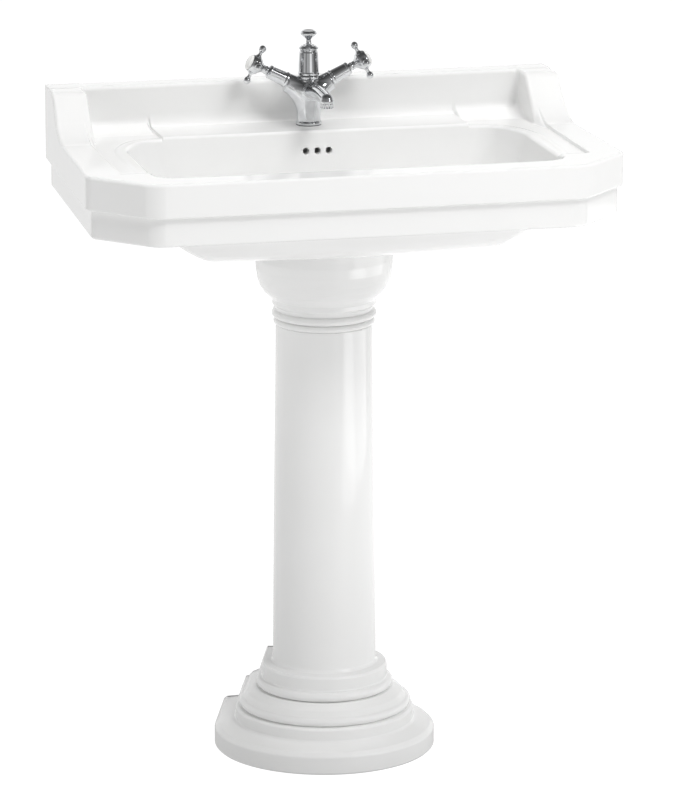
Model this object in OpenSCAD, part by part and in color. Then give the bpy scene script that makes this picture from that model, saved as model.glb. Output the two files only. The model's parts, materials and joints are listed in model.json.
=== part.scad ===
// Pedestal wash-basin with a mono tap, a pop-up waste and a bottle trap.
// Millimetres, +Z up. Origin: on the floor, in the middle of the object's width and depth.
// The front fascia is at y = -basin_d / 2 and the wall is at y = +basin_d / 2.

/* [Basin] */
// Width over the front corners
basin_w = 800; // [760:10:840]
// Depth from the front fascia to the wall
basin_d = 485; // [470:5:510]
// Height of the rim above the floor
rim_z = 940; // [900:10:960]
// How much narrower each side is at the wall
side_taper = 13; // [0:1:20]
// Width of the front fascia between the cut corners
front_w = 636; // [600:4:660]
// Depth of each cut corner
corner_d = 87; // [70:1:100]
// Height of the upper fascia band
upper_band_h = 50; // [40:1:60]
// Height of the lower fascia band
lower_band_h = 42.5; // [30:0.5:50]
// How far the lower band is set back
band_step = 8; // [4:1:12]
// Height of the backsplash above the rim
splash_h = 62.5; // [40:0.5:80]
// Thickness of the backsplash
splash_t = 38; // [30:1:44]
// Depth of the bowl below the rim
bowl_h = 143; // [125:1:150]
// Width of the bowl at the rim
bowl_w = 602; // [560:2:610]
// Wall thickness of the ware
ware_t = 14; // [12:1:16]

/* [Pedestal] */
// Radius of the round front of the foot
foot_r = 168; // [150:1:176]
// Radius of the shaft at its foot
shaft_r = 78; // [72:1:84]
// Radius of the shaft at its neck
neck_r = 72.5; // [68:0.5:80]
// Radius of the capital under the basin
capital_r = 103; // [96:1:110]
// Distance of the pedestal's axis from the wall
wall_gap = 180; // [176:1:190]

/* [Tap] */
// Distance of the tap's axis from the wall
tap_gap = 81; // [78:1:86]
// Tilt of the two valve arms above level
arm_tilt = 27.5; // [20:0.5:35]
// Distance of the handles' cross from the tap's axis
cross_l = 93; // [90:1:98]
// Span between the ball centres of a handle
cross_span = 52.5; // [46:0.5:58]
// Forward reach of the spout
spout_reach = 117; // [112:1:124]
// Travel of the lift rod
lift_h = 25; // [10:1:28]

/* [Waste] */
// Distance of the waste's axis from the wall
waste_gap = 200; // [196:1:206]
// Outside radius of the waste and trap tubes
waste_r = 16; // [16:0.5:17]

/* [Hidden] */
$fn = 64;
eps = 0.01;
wall_y = basin_d / 2;
front_y = -basin_d / 2;
tap_y = wall_y - tap_gap;
waste_y = wall_y - waste_gap;
ped_y = wall_y - wall_gap;
band_z = rim_z - upper_band_h;
skirt_z = band_z - lower_band_h;
deck_z = rim_z - ware_t;
splash_z = rim_z + splash_h;
splash_y = wall_y - splash_t;
bowl_z = rim_z - bowl_h;
bowl_base_z = bowl_z - ware_t;
seat_z = bowl_base_z - 2;
ped_top_z = seat_z - 2;
ledge_y = front_y + 350;
hole_z = rim_z - 30;
tray_h = 5;
duct_y = ledge_y + 9;
duct_z = hole_z - 14;
duct_d = 11;
duct_h = 26;
tap_hole_r = 17.5;
drain_hole_r = 23;
fix_hole_r = 7;
fix_x = 140;
fix_z = 880;
floor_hole_r = 4;
floor_hole_x = 112;
floor_hole_y = ped_y + 70;
floor_flange_h = 14;
gasket_t = 1.5;
tap_gasket_t = 0.8;
tap_z = rim_z + tap_gasket_t;
arm_z = tap_z + 50;
boss_z = 53;
boss_l = 21;
body_top = 69;
cap_z0 = 113;
cap_z1 = 120;
knob_top = 141.5;
rod_r = 2.5;
guide_r = rod_r + 0.05;
spindle_r = 4.5;
stud_r = 4;
stud_dy = -10;
tail_dx = 9.5;
tail_dy = 5;
tail_r = 5;
tail_out = 38;
union_r = 7.5;
union_z = 640;
union_h = 60;
flange_z = bowl_z + gasket_t;
throat_r = 17.5;
tube_r = 20.5;
pivot_z = 735;
pivot_dy = 27;
ball_r = 6;
lever_r = 2;
lever_out = tap_y - waste_y - pivot_dy;
plug_drop = lift_h * pivot_dy / lever_out;
rod_end_z = 785;
trap_r = 27;
outlet_z = 590;
white = "white";
chrome = "silver";

// ---------- outlines ----------

// Points of a round corner of radius r at b, between its neighbours a and c
function corner_arc(a, b, c, r, n) =
  let (
    u = (a - b) / norm(a - b),
    v = (c - b) / norm(c - b),
    half = acos(u * v) / 2,
    centre = b + (u + v) / norm(u + v) * r / sin(half),
    p0 = b + u * r / tan(half),
    p1 = b + v * r / tan(half),
    t0 = atan2(p0.y - centre.y, p0.x - centre.x),
    t1 = atan2(p1.y - centre.y, p1.x - centre.x),
    turn = t1 - t0 > 180 ? t1 - t0 - 360 : t1 - t0 < -180 ? t1 - t0 + 360 : t1 - t0
  )
  [for (i = [0 : n]) centre + r * [cos(t0 + turn * i / n), sin(t0 + turn * i / n)]];

// A polygon with all its corners rounded to the radii rs
function rounded(pts, rs, n = 4) =
  let (k = len(pts))
  [for (i = [0 : k - 1]) each corner_arc(pts[(i + k - 1) % k], pts[i], pts[(i + 1) % k], rs[i], n)];

// The basin's plan, moved inwards by inset at the front and sides and by back_inset at the wall
function basin_plan(inset = 0, back_inset = 0) =
  let (
    side = basin_w / 2 - inset,
    cut = inset * 0.45,
    front = front_w / 2 - cut,
    y1 = front_y + corner_d + cut,
    y0 = front_y + inset,
    x2 = basin_w / 2 - side_taper - inset,
    y2 = wall_y - back_inset
  )
  rounded([[-front, y0], [front, y0], [side, y1], [x2, y2], [-x2, y2], [-side, y1]],
          [14, 14, 7, 4, 4, 7]);

// The bowl's plan: half width w, from y0 to y1, front corners cut by f and rear corners by b
function bowl_plan(w, y0, y1, f, b, r) =
  rounded([[-w + f, y0], [w - f, y0], [w, y0 + f], [w, y1 - b * 1.5], [w - b, y1],
           [-w + b, y1], [-w, y1 - b * 1.5], [-w, y0 + f]],
          [r, r, r, r * 1.6, r * 1.6, r * 1.6, r * 1.6, r]);

// The pedestal's plan: a round front of radius r, with sides that close in towards a flat back
side_angle = 18.4;
function ped_plan(r, back, n = 18) =
  let (
    x0 = r * cos(side_angle),
    y0 = r * sin(side_angle),
    x1 = x0 - (back - y0) * tan(side_angle)
  )
  concat(
    [for (i = [0 : n]) let (t = 180 - side_angle + (180 + 2 * side_angle) * i / n)
      [r * cos(t), ped_y + r * sin(t)]],
    [[x1, ped_y + back], [-x1, ped_y + back]]);

// ---------- helpers ----------

function lift(pts, z) = [for (p = pts) [p.x, p.y, z]];

// A closed skin over a stack of equal rings of 3-D points
module loft(rings) {
  n = len(rings[0]);
  k = len(rings);
  polyhedron(
    points = [for (r = rings) each r],
    faces = concat(
      [[for (i = [0 : n - 1]) i]],
      [[for (i = [n - 1 : -1 : 0]) (k - 1) * n + i]],
      [for (j = [0 : k - 2], i = [0 : n - 1]) [j * n + i, (j + 1) * n + i, (j + 1) * n + (i + 1) % n]],
      [for (j = [0 : k - 2], i = [0 : n - 1]) [j * n + i, (j + 1) * n + (i + 1) % n, j * n + (i + 1) % n]]));
}

// Rings of radius rads[i] at right angles to a path that stays at right angles to side
function sweep(path, side, rads, n = 16) =
  let (k = len(path))
  [for (i = [0 : k - 1])
    let (
      step = path[min(i + 1, k - 1)] - path[max(i - 1, 0)],
      along = step / norm(step),
      up = cross(along, side)
    )
    [for (j = [0 : n - 1]) path[i] + rads[i] * (cos(360 * j / n) * side + sin(360 * j / n) * up)]];

module ring(r_out, r_in, h) {
  difference() {
    cylinder(r = r_out, h = h);
    translate([0, 0, -1]) cylinder(r = r_in, h = h + 2);
  }
}

module hex_nut(flats, r_in, h) {
  difference() {
    cylinder(r = flats / sqrt(3), h = h, $fn = 6);
    translate([0, 0, -1]) cylinder(r = r_in, h = h + 2);
  }
}

// A turned piece from [radius, height] points
module turned(points) rotate_extrude() polygon(points);

module at_tap(z = 0) translate([0, tap_y, tap_z + z]) children();
module at_waste(z) translate([0, waste_y, z]) children();
// Local +Z runs out along a valve arm; side is -1 for hot, on the left, and 1 for cold
module at_arm(side, l = 0)
  translate([0, tap_y, arm_z]) rotate([0, side * (90 - arm_tilt), 0]) translate([0, 0, l]) children();
module along_y(dy, z) translate([0, waste_y + dy, z]) rotate([-90, 0, 0]) children();

// ---------- ceramic ware ----------

bowl_levels = [
  // depth, half width lost, front set-back, rear set-back, front cut, rear cut, corner radius
  [-2, 0, 0, 0, 16, 40, 16],
  [15, 5, 5, 3, 18, 40, 17],
  [50, 21, 15, 8, 26, 42, 21],
  [90, 46, 32, 14, 44, 46, 26],
  [120, 86, 60, 19, 60, 50, 30],
  [bowl_h - 6, 161, 112, 25, 60, 44, 26],
  [bowl_h, 266, 206, 31, 14, 14, 10]
];

function bowl_ring(level, t) =
  lift(bowl_plan(bowl_w / 2 - level[1] + t, front_y + 50 + level[2] - t, ledge_y - level[3] + t,
                 level[4], level[5], level[6]),
       rim_z - level[0] - (level[0] > 20 ? t : 0));

module bowl_solid(t) loft([for (i = [len(bowl_levels) - 1 : -1 : 0]) bowl_ring(bowl_levels[i], t)]);

// Wings and backsplash, before they are trimmed to the plan
module upstand() {
  wing_front = front_y + 352;
  wing_back = front_y + 408;
  translate([-basin_w / 2, splash_y, rim_z - 5]) cube([basin_w, splash_t, splash_h + 5]);
  for (x = [-basin_w / 2, basin_w / 2 - 63])
    translate([x, 0, 0]) rotate([90, 0, 90]) linear_extrude(63)
      polygon([[wing_front - 22, rim_z - 5], [wing_front - 22, rim_z], [wing_front - 8, rim_z + 2],
               [wing_front + 2, rim_z + 8], [wing_back - 4, splash_z - 3], [wing_back, splash_z],
               [wall_y, splash_z], [wall_y, rim_z - 5]]);
}

// Shallow trays beside the bowl and in the rear corners; the tap ledge between them stays raised
module trays() {
  for (s = [-1, 1])
    translate([0, 0, rim_z - tray_h]) linear_extrude(tray_h + 10)
      polygon([[s * 280, front_y + 96], [s * 347, front_y + 96], [s * 345, front_y + 329],
               [s * 336, front_y + 332], [s * 336, front_y + 410], [s * 233, front_y + 410],
               [s * 233, front_y + 330], [s * 280, front_y + 250]]);
}

// Duct behind the bowl's rear wall that joins the overflow holes: its walls, or with t = 0 its hollow
module overflow_duct(t) {
  x = 29 + t;
  translate([-x, duct_y - t, duct_z - t]) cube([2 * x, duct_d + 2 * t, duct_h + 2 * t]);
}

module basin() {
  color(white) difference() {
    union() {
      difference() {
        union() {
          translate([0, 0, band_z]) linear_extrude(upper_band_h) polygon(basin_plan());
          translate([0, 0, skirt_z]) linear_extrude(lower_band_h + eps) polygon(basin_plan(band_step));
        }
        translate([0, 0, skirt_z - 1]) linear_extrude(deck_z - skirt_z + 1)
          polygon(basin_plan(band_step + ware_t, ware_t));
      }
      intersection() {
        translate([0, 0, rim_z - 5]) linear_extrude(splash_h + 6) polygon(basin_plan());
        upstand();
      }
      intersection() {
        bowl_solid(ware_t);
        translate([-500, front_y, skirt_z - 200]) cube([1000, basin_d, 200 + rim_z - 5 - skirt_z]);
      }
      // flat seat that stands on the pedestal
      intersection() {
        translate([0, 0, seat_z]) linear_extrude(20)
          difference() {
            polygon(ped_plan(capital_r - 3, capital_r));
            polygon(ped_plan(capital_r - 15, capital_r + 20));
          }
        translate([-200, front_y, seat_z]) cube([400, 325, 20]);
      }
      overflow_duct(6);
    }
    bowl_solid(0);
    at_waste(bowl_z) cylinder(r = 33, h = 8);
    trays();
    translate([0, tap_y, deck_z - 5]) cylinder(r = tap_hole_r, h = ware_t + 10);
    at_waste(bowl_base_z - 20) cylinder(r = drain_hole_r, h = 60);
    // three overflow holes in the bowl's rear wall
    for (x = [-17.5, 0, 17.5])
      translate([x, ledge_y - 30, hole_z]) rotate([-90, 0, 0]) cylinder(r = 4.75, h = 46);
    overflow_duct(0);
    for (x = [-fix_x, fix_x])
      translate([x, wall_y - 60, fix_z]) rotate([-90, 0, 0]) cylinder(r = fix_hole_r, h = 80);
  }
}

// Heights and radii of the pedestal's mouldings, from the floor up
function bead(z0, z1, r, n = 5) =
  let (h = (z1 - z0) / 2)
  [for (i = [0 : n]) [z0 + h - h * cos(180 * i / n), r - h + h * sin(180 * i / n)]];

ped_profile = concat(
  [[0, foot_r - 2], [3, foot_r], [27, foot_r], [31, foot_r - 3], [34, foot_r - 12]],
  [[42, 137], [44, 135], [59, 135], [61, 132], [62, 127]],
  bead(62, 76, 130.5),
  [[78, 126], [83, 118], [90, 110], [92, 106]],
  bead(92, 107, 103.5, 4),
  [[109, 95], [128, 95], [131, 93]],
  [[132, shaft_r + 1], [140, shaft_r], [380, shaft_r - 1.5], [640, neck_r], [660, neck_r]],
  bead(661, 671, 75.6, 4),
  bead(672, 683.5, 78, 4),
  [[685, 73], [689, 73.8], [693, 77], [700, 77.4]],
  [[704, 80.5], [709, 85.5], [714, 90.5], [721, 95.2], [731, 99], [745, 102], [758, capital_r],
   [ped_top_z - 3, capital_r], [ped_top_z, capital_r - 2]]);

ped_cavity = [
  [-1, 100], [floor_flange_h, 100], [floor_flange_h + eps, 148], [30, 148], [38, 118], [70, 116],
  [88, 94], [104, 86], [122, 80], [130, 62], [650, 59], [690, 61], [712, 76], [730, 86],
  [ped_top_z + 1, 89]
];

module pedestal() {
  color(white) difference() {
    loft([for (p = ped_profile) lift(ped_plan(p[1], p[1] * 0.98), p[0])]);
    loft([for (p = ped_cavity) lift(ped_plan(p[1], foot_r + 4), p[0])]);
    for (x = [-floor_hole_x, floor_hole_x])
      translate([x, floor_hole_y, -1]) cylinder(r = floor_hole_r, h = floor_flange_h + 2);
  }
}

module pedestal_seal() {
  color("gainsboro") intersection() {
    translate([0, 0, ped_top_z]) linear_extrude(seat_z - ped_top_z) difference() {
      polygon(ped_plan(capital_r - 4, capital_r));
      polygon(ped_plan(capital_r - 13, capital_r + 20));
    }
    translate([-200, front_y, ped_top_z]) cube([400, 324, 5]);
  }
}

// ---------- tap ----------

module tap_gasket() {
  color("dimgray") translate([0, tap_y, rim_z]) ring(19, tap_hole_r - 1, tap_gasket_t);
}

module tap_body() {
  color(chrome) difference() {
    union() {
      at_tap() turned([[0, 0], [19.6, 0], [19.6, 3], [19, 4.6], [18, 5.6], [18, 10], [18.7, 26], [18.9, 44],
                       [18.9, 57], [17.5, 61], [16.5, 63], [16.5, body_top], [0, body_top]]);
      for (s = [-1, 1]) {
        at_arm(s, 5) cylinder(r1 = 14, r2 = 11.5, h = 33);
        // web that carries the arm down into the barrel
        hull() {
          at_arm(s, 20) cylinder(r1 = 13, r2 = 11.5, h = 16);
          at_arm(s, 31) translate([s * 5, 0, 0]) cylinder(r = 12.5, h = 5);
          at_tap(31) cylinder(r = 18.4, h = 12);
        }
      }
      // boss that carries the spout
      at_tap(boss_z) rotate([90, 0, 0]) cylinder(r = 12.8, h = boss_l);
    }
    at_tap(-1) cylinder(r = 3.6, h = body_top + 2);
    // seat of the centre bonnet
    at_tap(body_top) cylinder(r = 17.6, h = 20);
    for (s = [-1, 1]) {
      at_arm(s, 24) cylinder(r = 9, h = 20);
      at_tap(-1) translate([s * tail_dx, tail_dy, 0]) cylinder(r = tail_r + 0.05, h = 13);
    }
    at_tap(-1) translate([0, stud_dy, 0]) cylinder(r = stud_r + 0.05, h = 13);
    at_tap(boss_z) translate([0, -12, 0]) rotate([90, 0, 0]) cylinder(r = 8.05, h = 12);
  }
}

// Centre line of the spout: forward distance and height above the ledge. It ends at the elbow
elbow_z = 56.2;
elbow_r = 10.2;
spout_bore = 5.5;
spout_line = [[boss_l, boss_z], [27, boss_z], [36, 54.2], [47, 56.5], [60, 58.2], [76, 58.7], [92, 58.1],
              [104, 57.3], [spout_reach, elbow_z]];
spout_rads = [12, 12, 11.5, 11, 10.6, 10.3, 10.1, 10.1, elbow_r];
spout_path = [for (p = spout_line) [0, tap_y - p[0], tap_z + p[1]]];
nozzle_z = 44.6;
nozzle_h = 7.6;

module at_nozzle(z) at_tap(z) translate([0, -spout_reach, 0]) children();

module spout() {
  color(chrome) difference() {
    union() {
      difference() {
        union() {
          loft(sweep(spout_path, [1, 0, 0], spout_rads, 24));
          at_nozzle(elbow_z) sphere(r = elbow_r);
        }
        at_nozzle(nozzle_z - 5) cylinder(r = 14, h = nozzle_h + 5.05);
      }
      at_tap(boss_z) translate([0, -14, 0]) rotate([90, 0, 0]) cylinder(r = 8, h = 8);
      at_nozzle(nozzle_z + 3.1) cylinder(r = 8.5, h = 6);
    }
    at_tap(boss_z) translate([0, -13, 0]) rotate([90, 0, 0]) cylinder(r = spout_bore, h = 20);
    loft(sweep([for (i = [1 : len(spout_path) - 1]) spout_path[i]], [1, 0, 0],
               [for (i = [1 : len(spout_path) - 1]) spout_bore], 16));
    at_nozzle(elbow_z) sphere(r = spout_bore);
    at_nozzle(nozzle_z + 2) cylinder(r = spout_bore, h = elbow_z - nozzle_z - 2);
  }
}

module spout_nozzle() {
  color(chrome) at_nozzle(nozzle_z) difference() {
    union() {
      turned([[0, 0], [9.4, 0], [9.8, 0.6], [9.8, nozzle_h - 1], [9.2, nozzle_h], [0, nozzle_h]]);
      for (a = [0 : 20 : 340]) rotate(a) translate([9.25, -0.7, 1.3]) cube([0.95, 1.4, nozzle_h - 2.7]);
    }
    translate([0, 0, 3]) cylinder(r = 8.55, h = 8);
    translate([0, 0, -1]) cylinder(r = 7.5, h = 6);
  }
}

module aerator() {
  color("gray") at_nozzle(nozzle_z + 0.4) ring(7.4, 1.2, 2.4);
}

module centre_bonnet() {
  color(chrome) at_tap() difference() {
    turned([[0, body_top], [16, body_top], [17.3, 70.5], [17.3, 73.5], [15.9, 75.5], [15.8, 78],
            [14.9, 92], [13.8, 110], [13.8, cap_z0], [0, cap_z0]]);
    translate([0, 0, body_top - 1]) cylinder(r = 11, h = 34);
    translate([0, 0, body_top]) cylinder(r = 4, h = 60);
  }
}

module bonnet_cap() {
  color(chrome) at_tap() difference() {
    turned([[0, cap_z0], [14, cap_z0], [14.7, cap_z0 + 1.2], [14.7, cap_z0 + 3], [12.6, cap_z0 + 4.6],
            [10.4, cap_z0 + 5.6], [7, cap_z1], [0, cap_z1]]);
    translate([0, 0, cap_z0 - 1]) cylinder(r = guide_r, h = 12);
  }
}

module lift_rod() {
  color(chrome) translate([0, tap_y, rod_end_z]) cylinder(r = rod_r, h = tap_z + knob_top - 13 - rod_end_z);
}

module lift_knob() {
  color(chrome) at_tap(knob_top) difference() {
    turned([[0, -21], [4.4, -21], [4.6, -19.5], [3.8, -17], [3.7, -14], [5.5, -11.4], [9.5, -8],
            [12, -5.5], [12.4, -3.8], [11.4, -1.6], [9.4, 0], [8, -0.7], [0, -1.2]]);
    translate([0, 0, -25]) cylinder(r = rod_r + 0.02, h = 12.02);
  }
}

module valve(side) {
  color("goldenrod") at_arm(side) difference() {
    union() {
      translate([0, 0, 24.5]) cylinder(r = 8.95, h = 15.5);
      translate([0, 0, 38.05]) cylinder(r = 9.6, h = 2.5, $fn = 6);
      translate([0, 0, 40]) cylinder(r = 7.5, h = 22);
    }
    translate([0, 0, 30]) cylinder(r = spindle_r + 0.05, h = 40);
    translate([0, 0, 23]) cylinder(r = 3, h = 20);
  }
}
module hot_valve() valve(-1);
module cold_valve() valve(1);

module bonnet(side) {
  color(chrome) at_arm(side) difference() {
    turned([[0, 38.05], [11.6, 38.05], [12.2, 39.3], [12.2, 41.5], [11.1, 43], [11, 46], [9.9, 66],
            [10.4, 67.6], [10, 69.6], [8.4, 71], [0, 71]]);
    translate([0, 0, 37]) cylinder(r = 9.8, h = 4.5);
    translate([0, 0, 37]) cylinder(r = 8, h = 26);
    translate([0, 0, 60]) cylinder(r = 6.2, h = 15);
  }
}
module hot_bonnet() bonnet(-1);
module cold_bonnet() bonnet(1);

module spindle(side) {
  color("goldenrod") at_arm(side, 32) cylinder(r = spindle_r, h = 64);
}
module hot_spindle() spindle(-1);
module cold_spindle() spindle(1);

module handle(side) {
  reach = cross_span / 2;
  color(chrome) at_arm(side) difference() {
    union() {
      turned([[0, 72], [6.6, 72], [7, 73.5], [5.9, 76], [6.4, 82], [9.5, 86], [13.4, 88.5],
              [14.2, 91.5], [14.2, 95.5], [13.4, 98], [12.8, 98.5], [0, 98.5]]);
      for (a = [0 : 90 : 270]) rotate(a) {
        translate([12, 0, cross_l]) rotate([0, 90, 0])
          turned([[0, 0], [4, 0], [2.6, 3], [2.2, 6], [3.6, reach - 12 - 3], [0, reach - 12]]);
        translate([reach, 0, cross_l]) sphere(r = 5.1, $fn = 32);
      }
    }
    translate([0, 0, 71]) cylinder(r = spindle_r + 0.02, h = 25);
  }
}
module hot_handle() handle(-1);
module cold_handle() handle(1);

module index(side) {
  color(white) at_arm(side)
    turned([[0, 98.5], [12.6, 98.5], [12.6, 101], [11, 103], [7, 104.4], [0, 105]]);
}
module hot_index() index(-1);
module cold_index() index(1);

module tap_stud() {
  color("silver") translate([0, tap_y + stud_dy, 885]) cylinder(r = stud_r, h = tap_z + 11 - 885);
}

// Clearance holes that the clamp pieces share
module clamp_holes() {
  translate([0, 0, -1]) cylinder(r = 4, h = 10);
  for (s = [-1, 1]) translate([s * tail_dx, tail_dy, -1]) cylinder(r = tail_r + 0.5, h = 10);
  translate([0, stud_dy, -1]) cylinder(r = stud_r + 0.2, h = 10);
}

module rubber_washer() {
  color("dimgray") translate([0, tap_y, deck_z - 3]) difference() {
    cylinder(r = 24, h = 3);
    clamp_holes();
  }
}

module clamp_plate() {
  color("silver") translate([0, tap_y, deck_z - 5]) difference() {
    cylinder(r = 24, h = 2);
    clamp_holes();
  }
}

module clamp_nut() {
  color("gold") translate([0, tap_y + stud_dy, deck_z - 11.5]) hex_nut(13, stud_r + 0.02, 6.5);
}

// A rigid supply tail: down through the tap hole, outwards, then down again
module tail(side) {
  x0 = side * tail_dx;
  x1 = side * tail_out;
  y = tap_y + tail_dy;
  path = [[x1, y, union_z + 30], [x1, y, 780], [x1 - side * 2, y, 800], [x1 - side * 7, y, 820],
          [x0 + side * 7, y, 856], [x0 + side * 2, y, 876], [x0, y, 896], [x0, y, tap_z + 11]];
  color("peru") loft(sweep(path, [1, 0, 0], [for (p = path) tail_r], 16));
}
module hot_tail() tail(-1);
module cold_tail() tail(1);

module tail_union(side) {
  color("goldenrod") translate([side * tail_out, tap_y + tail_dy, union_z]) difference() {
    union() {
      cylinder(r = union_r, h = union_h);
      translate([0, 0, 32]) cylinder(r = 10, h = 12, $fn = 6);
      translate([0, 0, 47]) cylinder(r = 9, h = 13, $fn = 6);
    }
    translate([0, 0, 29.9]) cylinder(r = tail_r + 0.05, h = union_h);
    translate([0, 0, -1]) cylinder(r = 4.5, h = union_h);
  }
}
module hot_union() tail_union(-1);
module cold_union() tail_union(1);

// ---------- pop-up waste ----------

module waste_flange() {
  color(chrome) at_waste(0) difference() {
    turned([[0, 752], [tube_r, 752], [tube_r, flange_z], [31.5, flange_z], [32, flange_z + 0.8],
            [30, flange_z + 2.4], [24, flange_z + 3], [19.5, flange_z + 1.2], [0, flange_z + 1.2]]);
    translate([0, 0, 751]) cylinder(r = throat_r, h = 60);
  }
}

module flange_seal() {
  color("dimgray") at_waste(bowl_z) ring(30, tube_r + 0.05, gasket_t);
}

module lower_seal() {
  color("dimgray") at_waste(bowl_base_z - 5) ring(31, tube_r + 0.05, 5);
}

module backnut() {
  color("goldenrod") at_waste(bowl_base_z - 13) hex_nut(54, tube_r + 0.05, 8);
}

module waste_body() {
  color(chrome) difference() {
    union() {
      at_waste(0) turned([[0, 625], [waste_r, 625], [waste_r, 704], [19, 712], [22, 716], [22, 748],
                          [24.5, 750], [24.5, 764], [23.5, 766], [0, 766]]);
      along_y(15, pivot_z) cylinder(r = 9, h = 17);
    }
    at_waste(0) translate([0, 0, 752]) cylinder(r = tube_r + 0.05, h = 20);
    at_waste(0) translate([0, 0, 712]) cylinder(r = throat_r, h = 41);
    at_waste(0) translate([0, 0, 624]) cylinder(r = waste_r - 2, h = 95);
    along_y(10, pivot_z) cylinder(r = ball_r + 0.05, h = 25);
  }
}

module plug() {
  z = flange_z + 3.4 + plug_drop;
  color(chrome) at_waste(0) difference() {
    union() {
      turned([[0, z - 6], [13, z - 6], [13, z - 3], [15, z - 2.2], [15, z], [19, z], [19.6, z + 1.2],
              [17, z + 3], [10, z + 4.4], [0, z + 5]]);
      translate([0, 0, pivot_z - 8]) cylinder(r = 3.5, h = z - 3 - pivot_z + 8);
      for (a = [45 : 90 : 315]) rotate(a)
        translate([2, -0.8, pivot_z + 14]) cube([14.6, 1.6, z - 4 - pivot_z - 14]);
      translate([-5.5, -2, pivot_z - 8]) cube([11, 4, 16]);
    }
    translate([0, -10, pivot_z]) rotate([-90, 0, 0]) cylinder(r = lever_r + 1.3, h = 20);
  }
}

module plug_seal() {
  z = flange_z + 3.4 + plug_drop;
  color("dimgray") at_waste(z - 2.1) ring(18.6, 15.02, 2.1);
}

module ball_rod() {
  color(chrome) union() {
    along_y(-6, pivot_z) cylinder(r = lever_r, h = lever_out + pivot_dy + 22);
    translate([0, waste_y + pivot_dy, pivot_z]) sphere(r = ball_r);
  }
}

module pivot_nut() {
  color(chrome) along_y(pivot_dy - 4, pivot_z) difference() {
    union() {
      cylinder(r = 12, h = 11);
      for (a = [0 : 30 : 330]) rotate(a) translate([11.5, -1, 1]) cube([1.4, 2, 8]);
    }
    translate([0, 0, -1]) cylinder(r = 9.05, h = 10.05);
    cylinder(r = 4.8, h = 20);
  }
}

module strap() {
  color("silver") translate([0, tap_y, 0]) difference() {
    union() {
      translate([-6, -0.8, 712]) cube([12, 1.6, 84]);
      translate([0, 0, 788]) cylinder(r = 6.5, h = 14);
    }
    translate([0, 0, 784]) cylinder(r = rod_r + 0.02, h = 20);
    for (z = [723, pivot_z, 747, 759, 771])
      translate([0, -5, z]) rotate([-90, 0, 0]) cylinder(r = 3.6, h = 10);
    translate([2, 0, 795]) rotate([0, 90, 0]) cylinder(r = 2.02, h = 10);
  }
}

module strap_screw() {
  color(chrome) translate([2.6, tap_y, 795]) rotate([0, 90, 0]) {
    cylinder(r = 2, h = 6);
    translate([0, 0, 6]) cylinder(r = 6, h = 5);
  }
}

// Spring clip on the ball rod, one leg each side of the strap
module rod_clip() {
  color("silver") translate([0, tap_y, pivot_z]) difference() {
    union() {
      for (y = [-5, 8]) translate([-5, y, -5]) cube([15, 0.8, 10]);
      translate([9.2, -5, -5]) cube([0.8, 13.8, 10]);
    }
    translate([0, -10, 0]) rotate([-90, 0, 0]) cylinder(r = lever_r + 0.02, h = 30);
  }
}

// ---------- bottle trap ----------

module trap_inlet_nut() {
  color(chrome) at_waste(628) difference() {
    union() {
      cylinder(r = 23, h = 20);
      for (a = [0 : 20 : 340]) rotate(a) translate([22.4, -1.2, 2]) cube([1.6, 2.4, 14]);
    }
    translate([0, 0, -1]) cylinder(r = 20.55, h = 16);
    cylinder(r = waste_r + 0.3, h = 30);
  }
}

module trap_inlet_seal() {
  color("dimgray") at_waste(638.1) ring(20.4, waste_r + 0.02, 4.8);
}

module trap_body() {
  color(chrome) difference() {
    union() {
      at_waste(0) turned([[0, 540], [trap_r, 540], [trap_r, 604], [25, 610], [20.5, 614], [20.5, 638],
                          [0, 638]]);
      along_y(10, outlet_z) cylinder(r = 20, h = 36);
    }
    difference() {
      union() {
        at_waste(535) cylinder(r = trap_r - 2.5, h = 66);
        along_y(12, outlet_z) cylinder(r = waste_r + 0.1, h = 40);
      }
      // dip tube wall
      at_waste(500) cylinder(r = 16, h = 110);
    }
    at_waste(505) cylinder(r = 14, h = 140);
    at_waste(622) cylinder(r = waste_r + 0.1, h = 20);
  }
  color(chrome) at_waste(500) ring(16, 14, 40);
}

module trap_cup() {
  color(chrome) at_waste(0) difference() {
    turned([[0, 470], [16, 470], [26, 474], [30, 482], [31, 490], [31, 556], [30, 558], [0, 558]]);
    translate([0, 0, 538]) cylinder(r = trap_r + 0.05, h = 30);
    translate([0, 0, 476]) cylinder(r = trap_r - 2.5, h = 80);
  }
}

module trap_cup_seal() {
  color("dimgray") at_waste(538) ring(trap_r, trap_r - 2.4, 2);
}

module outlet_nut() {
  color(chrome) along_y(40, outlet_z) difference() {
    union() {
      cylinder(r = 22.5, h = 18);
      for (a = [0 : 20 : 340]) rotate(a) translate([21.9, -1.2, 2]) cube([1.6, 2.4, 12]);
    }
    translate([0, 0, -1]) cylinder(r = 20.05, h = 15);
    cylinder(r = waste_r + 0.3, h = 30);
  }
}

module outlet_seal() {
  color("dimgray") along_y(46.1, outlet_z) ring(19.9, waste_r + 0.02, 7.6);
}

// The pipe to the wall, with a rolled bead that stops the nut
module outlet_pipe() {
  start = 32;
  color(chrome) union() {
    along_y(start, outlet_z) ring(waste_r, waste_r - 1.5, waste_gap - start);
    along_y(62, outlet_z) ring(waste_r + 1.5, waste_r - 0.5, 4);
  }
}

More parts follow.
